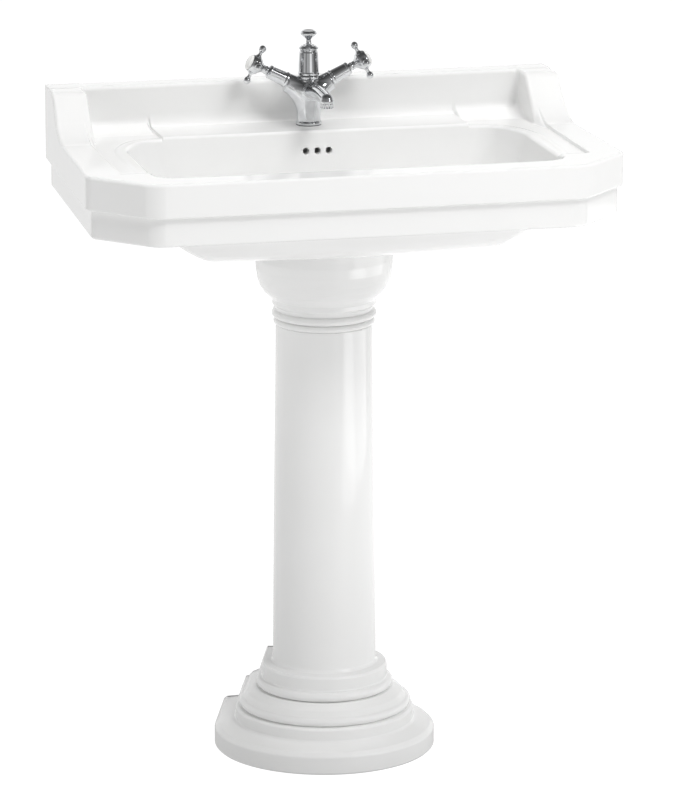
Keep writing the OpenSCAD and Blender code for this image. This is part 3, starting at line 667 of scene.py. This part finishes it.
# the two back edges: strips between the outer and the inner sheet, at matching heights
outer_idx, inner_idx = prow[:split], prow[split:][::-1]
oz = profile[:, 1]
iz = inner[:, 1]
for col in (0, len(prow[0]) - 1):
    a = [r[col] for r in outer_idx]
    b = [r[col] for r in inner_idx]
    i = j = 0
    while i < len(a) - 1 or j < len(b) - 1:
        go_outer = j == len(b) - 1 or (i < len(a) - 1 and oz[i + 1] <= iz[j + 1])
        face = (a[i], a[i + 1], b[j]) if go_outer else (a[i], b[j + 1], b[j])
        pf.append(face if col else face[::-1])
        i, j = (i + 1, j) if go_outer else (i, j + 1)
add_mesh("pedestal_ware", pv, pf, "fixed", MAT["glaze"], ("pedestal",))


# ---------------------------------------------------------------- tap

def at_tap(verts, dz=0.0):
    return place(verts, at=(0, TAP_Y, TAP_Z + dz))


def at_arm(verts, side):
    return place(verts, frame_of(ARM[side]), (0, TAP_Y, ARM_Z))


ARM_UP = ARM_Z - TAP_Z


def body_field(x, y, z):
    """The tap's casting: barrel, webs and arm stubs that flow into it, and the spout's boss."""
    z = z - TAP_Z
    y = y - TAP_Y
    r = np.hypot(x, y)
    barrel_r = 17.8 + 1.0 * smooth((z - 6) / 26.0)
    f = cut(cut(r - barrel_r, 1 - z, 0.5), z - 58, 5.0)
    for s in (-1, 1):
        ax, az = ARM[s][0], ARM[s][2]
        along = x * ax + (z - ARM_UP) * az
        across = (x * az - (z - ARM_UP) * ax) * np.sign(ax)
        low = cut(np.hypot(y, across - 5) - 12.2, cut(along - 36.6, 12 - along, 1.0), 1.6)
        f = weld(f, low, 22.0)
    for s in (-1, 1):
        ax, az = ARM[s][0], ARM[s][2]
        along = x * ax + (z - ARM_UP) * az
        off = np.hypot(y, -x * az + (z - ARM_UP) * ax)
        f = weld(f, cut(off - (14.4 - 0.0757 * along), cut(along - 37.8, -along, 1.0), 0.8), 4.0)
    foot_ring = cut(cut(r - 19.5, -z, 0.8), z - 4.6, 1.8)
    f = weld(f, foot_ring, 1.2)
    f = weld(f, cut(r - 16.4, cut(40 - z, z - BODY_TOP, 1.2), 1.5), 2.5)
    boss = cut(np.hypot(x, z - BOSS_Z) - 12.4, cut(-21 - y, y, 1.0), 1.2)
    f = weld(f, boss, 3.5)
    lip = cut(np.hypot(x, z - BOSS_Z) - 13.2, cut(-21 - y, y + 18.0, 0.8), 0.8)
    return weld(f, lip, 0.8)


h = 0.8
bx = max(abs(body_lo[0]), abs(body_hi[0])) + 6
BOSS_Z, BODY_TOP = 53.0, box_mm("centre_bonnet")[0][2] - TAP_Z
v_, f_, n_ = surface(body_field, spans((-bx, bx, h)), spans((TAP_Y - 24, TAP_Y + 22, h)),
                     spans((TAP_Z - 2, TAP_Z + 8, h), (TAP_Z + 8, TAP_Z + 84, h)))
add_mesh("tap_casting", v_, f_, "fixed", MAT["chrome"], ("tap_body",), n_)

# spout: a tube that leaves the boss, rises a little, and turns down to the nozzle
reach = TAP_Y - (nozzle_lo[1] + nozzle_hi[1]) / 2
drop_z = nozzle_hi[2] - TAP_Z
ELBOW_Z = 56.2
SPOUT_LINE = ((21, BOSS_Z, 11.9), (27, BOSS_Z + 0.1, 11.8), (36, 54.2, 11.3), (47, 56.5, 10.9),
              (60, 58.2, 10.5), (76, 58.7, 10.2), (92, 58.1, 10.1), (104, 57.2, 10.1),
              (reach, ELBOW_Z, 10.2))
path = smooth_path(SPOUT_LINE, 28)


def spout_field(x, y, z):
    """A round tube whose radius changes along its path, an elbow, and the drop to the nozzle."""
    a, b = TAP_Y - y, z - TAP_Z
    f = np.full(np.broadcast(x, y, z).shape, 1e3)
    for (a0, b0, r0), (a1, b1, r1) in zip(path[:-1], path[1:]):
        da, db = a1 - a0, b1 - b0
        t = np.clip(((a - a0) * da + (b - b0) * db) / (da * da + db * db), 0, 1)
        off = np.sqrt((a - a0 - t * da) ** 2 + (b - b0 - t * db) ** 2 + x * x)
        f = np.minimum(f, off - (r0 + t * (r1 - r0)))
    f = cut(f, 21.1 - a, 0.6)
    collar = cut(np.hypot(x, b - BOSS_Z) - 12.8, cut(21.1 - a, a - 24.3, 0.8), 0.8)
    f = weld(f, collar, 0.8)
    drop = cut(np.hypot(x, a - reach) - 10.2, cut(b - ELBOW_Z, drop_z + 0.05 - b, 0.7), 0.7)
    under = cut(reach - 13.5 - a, b - drop_z - 0.05, 1.0)
    return weld(cut(f, -under, 0.7), drop, 2.0)


hs = 0.7
v_, f_, n_ = surface(spout_field, spans((-14, 14, hs)), spans((TAP_Y - reach - 13, TAP_Y - 19, hs)),
                     spans((TAP_Z + drop_z - 2, TAP_Z + 71, hs)))
add_mesh("spout_tube", v_, f_, "fixed", MAT["chrome"], ("spout",), n_)

nz0, nz1 = nozzle_lo[2], nozzle_hi[2]
def ribs(theta, r, z):
    depth = 0.95 * smooth((z - 1.0) / 0.7) * smooth((nz1 - nz0 - 0.9 - z) / 0.7)
    return r - depth * (0.5 - 0.5 * np.cos(theta * 16)) ** 2 if r > 9 else np.full(len(theta), float(r))
nr = (nozzle_hi[0] - nozzle_lo[0]) / 2 - 0.1
hgt = nz1 - nz0
prof = closed_fillet([(7.6, 0, 0.4), (nr - 0.6, 0, 0.5), (nr, 0.8, 0.3), (nr, 1.2, 0), (nr, 2.0, 0),
                      (nr, hgt - 1.8, 0), (nr, hgt - 1.0, 0), (nr - 0.3, hgt - 0.05, 0.3),
                      (7.6, hgt - 0.05, 0.3)], 3)
v_, f_ = loop_lathe(prof, 240, ribs)
add_mesh("nozzle_ring", place(v_, at=(0, TAP_Y - reach, nz0)), f_, "fixed", MAT["chrome"],
         ("spout_nozzle",))

# centre column, cap and lift knob
b0 = box_mm("centre_bonnet")
c0 = box_mm("bonnet_cap")
cz0 = c0[0][2] - TAP_Z
bz0 = b0[0][2] - TAP_Z
prof = fillet([(0, bz0, 0), (15.8, bz0, 0.5), (17.3, bz0 + 1.8, 1.4), (17.3, bz0 + 4.4, 1.4),
               (15.5, bz0 + 6.3, 0.6), (16.1, bz0 + 7.4, 0.7), (16.1, bz0 + 9.4, 0.7),
               (15.3, bz0 + 10.6, 1.0), (14.9, bz0 + 23, 0), (13.9, cz0 - 4, 2), (13.1, cz0 - 2.4, 0.6),
               (13.1, cz0, 0.3), (0, cz0, 0)], 4)
v_, f_ = lathe(prof, 96)
add_mesh("centre_column", at_tap(v_), f_, "fixed", MAT["chrome"], ("centre_bonnet",))
prof = fillet([(0, cz0, 0), (13.4, cz0, 0.4), (14.7, cz0 + 1.2, 0.9), (14.7, cz0 + 2.9, 0.9),
               (12.4, cz0 + 4.4, 1.4), (11.2, cz0 + 5.9, 0.5), (9.6, cz0 + 5.8, 0.5),
               (8.2, cz0 + 4.9, 1.2), (6.2, cz0 + 5.2, 0.8), (5.4, cz0 + 6.8, 0.5), (3.4, cz0 + 7, 0.4),
               (0, cz0 + 6.9, 0)], 4)
v_, f_ = lathe(prof, 96)
add_mesh("column_cap", at_tap(v_), f_, "fixed", MAT["chrome"], ("bonnet_cap",))
kz0, kz1 = knob_lo[2] - TAP_Z, knob_hi[2] - TAP_Z
prof = fillet([(0, kz0, 0), (4.3, kz0, 0.6), (4.6, kz0 + 1.4, 0.7), (3.8, kz0 + 3.6, 1.2),
               (3.7, kz0 + 6.6, 1.5), (5.4, kz0 + 9.4, 3), (9.5, kz0 + 12.8, 3),
               (12.1, kz0 + 15.4, 1.6), (12.3, kz0 + 17.4, 1.2), (11.3, kz1 - 1.6, 1.0),
               (9.6, kz1, 0.5), (8.6, kz1 - 0.1, 0.5), (7.2, kz1 - 1.0, 2), (3, kz1 - 1.5, 3),
               (0, kz1 - 1.6, 0)], 4)
v_, f_ = lathe(prof, 96)
add_mesh("pull_knob", at_tap(v_), f_, "lift", MAT["chrome"], ("lift_knob",))


# handles: a hub with four lugs that end in balls
def handle_field(x, y, z):
    r = np.hypot(x, y)
    hub_r = np.interp(z, [72, 74, 76.5, 80.5, 84, 87, 90, 96, 99.4, 101],
                      [6.2, 6.8, 5.8, 6.4, 9.4, 12.9, 14.1, 14.1, 13.5, 12.7])
    hub = cut(cut((r - hub_r) * 0.8, 71.15 - z, 0.4), z - 101, 0.6)
    hub = cut(hub, -cut(r - 11.9, 99.4 - z, 0.3), 0.5)
    a, b = np.abs(x), np.abs(y)
    a, b = np.maximum(a, b), np.minimum(a, b)
    off = np.hypot(b, z - 93)
    neck_r = np.interp(a, [10, 13, 16.5, 20, 24, 26.2], [5.2, 4.1, 2.8, 2.7, 3.8, 4.0])
    lug = cut((off - neck_r) * 0.9, a - 27, 0.5)
    ball = np.sqrt((a - 26.2) ** 2 + b * b + (z - 93) ** 2) - 5.5
    f = weld(hub, lug, 2.2)
    return weld(f, ball, 1.4)


hh = 0.7
hv, hf, hn = surface(handle_field, spans((-34, 34, hh)), spans((-34, 34, hh)), spans((70, 103, hh)), relax=4)
bonnet_prof = fillet([(0, 38.1, 0), (11.4, 38.1, 0.4), (12.2, 39.2, 0.6), (12.2, 41.4, 0.6),
                      (11.2, 42.6, 0.4), (10.9, 43.6, 0.4), (10.9, 46, 1), (9.9, 65, 1),
                      (10.4, 66.2, 0.5), (10.4, 68.2, 0.6), (9.4, 69.8, 0.8), (7.6, 70.8, 0.5),
                      (5.2, 71, 0.3), (0, 71, 0)], 4)
bv, bf = lathe(bonnet_prof, 96)
index_prof = fillet([(0, 98.5, 0), (11.7, 98.5, 0.2), (11.7, 102.4, 0.9), (10.4, 104.2, 1.6),
                     (6.2, 105.7, 6), (0, 106.3, 0)], 5)
iv, if_ = lathe(index_prof, 72)
for side, name in ((-1, "hot"), (1, "cold")):
    rot = frame_of(ARM[side])
    add_mesh(name + "_cross_head", at_arm(hv, side), hf, name + "_tap", MAT["chrome"],
             (name + "_handle",), hn @ rot.T)
    add_mesh(name + "_arm_bonnet", at_arm(bv, side), bf, "fixed", MAT["chrome"],
             (name + "_bonnet",))
    add_mesh(name + "_index_disc", at_arm(iv, side), if_, name + "_tap", MAT["index_glaze"],
             (name + "_index",))

# waste flange, dished towards its throat
fz1 = flange_hi[2]
prof = closed_fillet([(17.6, flange_lo[2], 0.3), (20.4, flange_lo[2], 0.3), (20.4, fz1 - 3.2, 0.6),
                      (31.2, fz1 - 3.0, 0.4), (32, fz1 - 2.2, 0.5), (30, fz1 - 0.6, 1.2),
                      (24.5, fz1, 2.5), (19.8, fz1 - 1.7, 1.5), (17.6, fz1 - 3.6, 1.2)], 4)
v_, f_ = loop_lathe(prof, 96)
add_mesh("flange_ring", place(v_, at=(0, WASTE_Y, 0)), f_, "fixed", MAT["chrome"],
         ("waste_flange",))


# ---------------------------------------------------------------- studio

def area(name, at, aim, size, power, glossy=True):
    """A rectangular soft light that points at aim; glossy=False keeps it out of reflections."""
    data = bpy.data.lights.new(name, "AREA")
    data.shape = "RECTANGLE"
    data.size, data.size_y = size
    data.energy = power
    obj = bpy.data.objects.new(name, data)
    obj.location = at
    obj.rotation_euler = (Vector(aim) - Vector(at)).to_track_quat("-Z", "Y").to_euler()
    obj.visible_glossy = glossy
    obj.visible_camera = False
    bpy.context.scene.collection.objects.link(obj)


def square(z, half_size=60):
    a = half_size
    return [(-a, -a, z), (a, -a, z), (a, a, z), (-a, a, z)]


# the floor that the camera sees: pale, and out of reflections and shadows
floor_mesh = bpy.data.meshes.new("studio_floor")
floor_mesh.from_pydata(square(0), [], [(0, 1, 2, 3)])
floor_obj = bpy.data.objects.new("studio_floor", floor_mesh)
bpy.context.scene.collection.objects.link(floor_obj)
fm, ft, fs, fat = nodes_of("pale_floor")
paper = ramp(ft, noise(ft, fat, 3, 2), [(0.3, (0.10, 0.10, 0.10)), (0.7, (0.11, 0.11, 0.11))])
ft.links.new(paper, fs.inputs["Base Color"])
fs.inputs["Roughness"].default_value = 0.7
fs.inputs["Specular IOR Level"].default_value = 0.2
fs.inputs["Emission Color"].default_value = (1, 1, 1, 1)
fs.inputs["Emission Strength"].default_value = 0.98
floor_mesh.materials.append(fm)
floor_obj.visible_diffuse = False
floor_obj.visible_glossy = False
floor_obj.visible_shadow = False

def bearing(tree, x, y):
    """How the studio's brightness varies round the object, as soft boxes and dark gaps seen in the chrome."""
    turn = tree.nodes.new("ShaderNodeMath")
    turn.operation = "ARCTAN2"
    back = tree.nodes.new("ShaderNodeMath")
    back.operation = "MULTIPLY"
    back.inputs[1].default_value = -1.0
    tree.links.new(y, back.inputs[0])
    tree.links.new(x, turn.inputs[0])
    tree.links.new(back.outputs[0], turn.inputs[1])
    round_it = spread(tree, turn.outputs[0], 0, 1, -math.pi, math.pi)
    stops = ((-180, 0.9), (-150, 0.8), (-128, 0.3), (-100, 0.14), (-78, 0.2), (-62, 0.55), (-50, 0.3),
             (-38, 0.18), (-24, 0.5), (-12, 0.34), (-2, 0.42), (6, 0.95), (20, 0.95), (30, 0.34), (42, 0.3),
             (60, 0.1), (92, 0.08), (112, 0.5), (140, 0.8), (180, 0.9))
    return ramp(tree, round_it, greys(*[((at + 180) / 360.0, v) for at, v in stops]))


# a sheet just under the floor, unseen by the camera: it lights the ware from below and shows in the chrome; its
# glow carries painted shade and painted light: dimmer near the pedestal for the basin's shadow on the floor,
# brighter towards +X for the pool of the lights on the right
bounce_mesh = bpy.data.meshes.new("studio_bounce")
bounce_mesh.from_pydata(square(-0.004), [], [(0, 1, 2, 3)])
bounce_obj = bpy.data.objects.new("studio_bounce", bounce_mesh)
bpy.context.scene.collection.objects.link(bounce_obj)
bounce_mat, bt, bs, bat = nodes_of("painted_floor_bounce")
bsep = bt.nodes.new("ShaderNodeSeparateXYZ")
bt.links.new(bat, bsep.inputs["Vector"])
distance = bt.nodes.new("ShaderNodeVectorMath")
distance.operation = "LENGTH"
bt.links.new(bat, distance.inputs[0])
# painted shadow: the glow is dimmest close to the pedestal, where the basin shades the floor
near = ramp(bt, spread(bt, distance.outputs["Value"], 0, 1, 0, 4),
            greys((0.15 / 4.0, 0.5), (0.4 / 4.0, 0.62), (0.75 / 4.0, 0.82), (1.2 / 4.0, 1.0),
                  (2.6 / 4.0, 1.0), (3.2 / 4.0, 0.7)))
# painted light: the glow rises towards +X, the pool that the lights on the right throw on the floor
right = ramp(bt, spread(bt, bsep.outputs["X"], 0, 1, -1.5, 1.5), greys((0.1, 1.0), (0.45, 0.95), (0.75, 1.2)))
lit = blend(bt, near, right)
far = spread(bt, distance.outputs["Value"], 0, 1, 3.0, 3.6)
shade = bt.nodes.new("ShaderNodeMix")
shade.data_type = "RGBA"
bt.links.new(far, shade.inputs[0])
bt.links.new(lit, shade.inputs[6])
bt.links.new(bearing(bt, bsep.outputs["X"], bsep.outputs["Y"]), shade.inputs[7])
bt.links.new(shade.outputs[2], bs.inputs["Emission Color"])
bs.inputs["Emission Strength"].default_value = 1.0
bs.inputs["Base Color"].default_value = (0.02, 0.02, 0.02, 1)
bs.inputs["Roughness"].default_value = 0.9
bounce_mesh.materials.append(bounce_mat)
bounce_obj.visible_camera = False
bounce_obj.visible_shadow = False

# the room: pale above the horizon behind the camera, soft boxes and gaps by bearing, and a white backdrop
world = bpy.data.worlds.new("studio")
bpy.context.scene.world = world
world.use_nodes = True
wt = world.node_tree
bg = wt.nodes["Background"]
wc = wt.nodes.new("ShaderNodeTexCoord")
sep = wt.nodes.new("ShaderNodeSeparateXYZ")
wt.links.new(wc.outputs["Generated"], sep.inputs["Vector"])
height = spread(wt, sep.outputs["Z"], 0, 1, -1, 1)
sky = ramp(wt, height, greys((0.0, 1.0), (0.40, 0.6), (0.5, 0.5), (0.65, 0.34), (1.0, 0.1)))
room = blend(wt, sky, bearing(wt, sep.outputs["X"], sep.outputs["Y"]), 0.55)
behind = ramp(wt, spread(wt, sep.outputs["Y"], 0, 1, -0.1, 0.7), [(0.0, (0, 0, 0)), (1.0, (1, 1, 1))])
low = ramp(wt, height, [(0.62, (1, 1, 1)), (0.82, (0, 0, 0))])
backdrop = wt.nodes.new("ShaderNodeMix")
backdrop.data_type = "RGBA"
wt.links.new(blend(wt, behind, low), backdrop.inputs[0])
wt.links.new(room, backdrop.inputs[6])
backdrop.inputs[7].default_value = (1.0, 1.0, 1.0, 1)
wt.links.new(backdrop.outputs[2], bg.inputs["Color"])
bg.inputs["Strength"].default_value = 1.0

area("paper_right", (1.63, -0.55, 0.26), (0, 0.04, 0.3), (2.2, 0.5), 5.0)
area("paper_patch", (1.25, -1.2, 0.02), (0.9, -0.86, 3.0), (1.1, 1.5), 7.0)
area("main_front", (1.32, -2.74, 4.19), (0, 0.1, 0.95), (1.5, 1.1), 77, glossy=False)
area("soft_box", (2.5, -2.75, 3.0), (0, 0.1, 0.8), (0.9, 1.2), 14)
area("fill_left", (-3.3, -1.5, 1.3), (0, 0.05, 0.75), (2.0, 2.6), 25, glossy=False)
area("top_soft", (0.0, -0.4, 4.2), (0, 0, 0.9), (3.4, 3.0), 76, glossy=False)

LOOK_DOWN, LOOK_RIGHT = 13.8765, 13.4641    # the camera's tilt and turn in degrees
scene = bpy.context.scene
scene.view_settings.view_transform = "Standard"
scene.view_settings.look = "None"

camera = bpy.data.cameras.new("camera")
camera.sensor_width = 36
camera.lens = 226.7          # long, as the photograph shows almost no convergence
camera.clip_end = 200
cam = bpy.data.objects.new("camera", camera)
cam.location = (-1.6921, -7.0852, 2.3516)
cam.rotation_euler = (math.radians(90 - LOOK_DOWN), 0, -math.radians(LOOK_RIGHT))
scene.collection.objects.link(cam)
scene.camera = cam
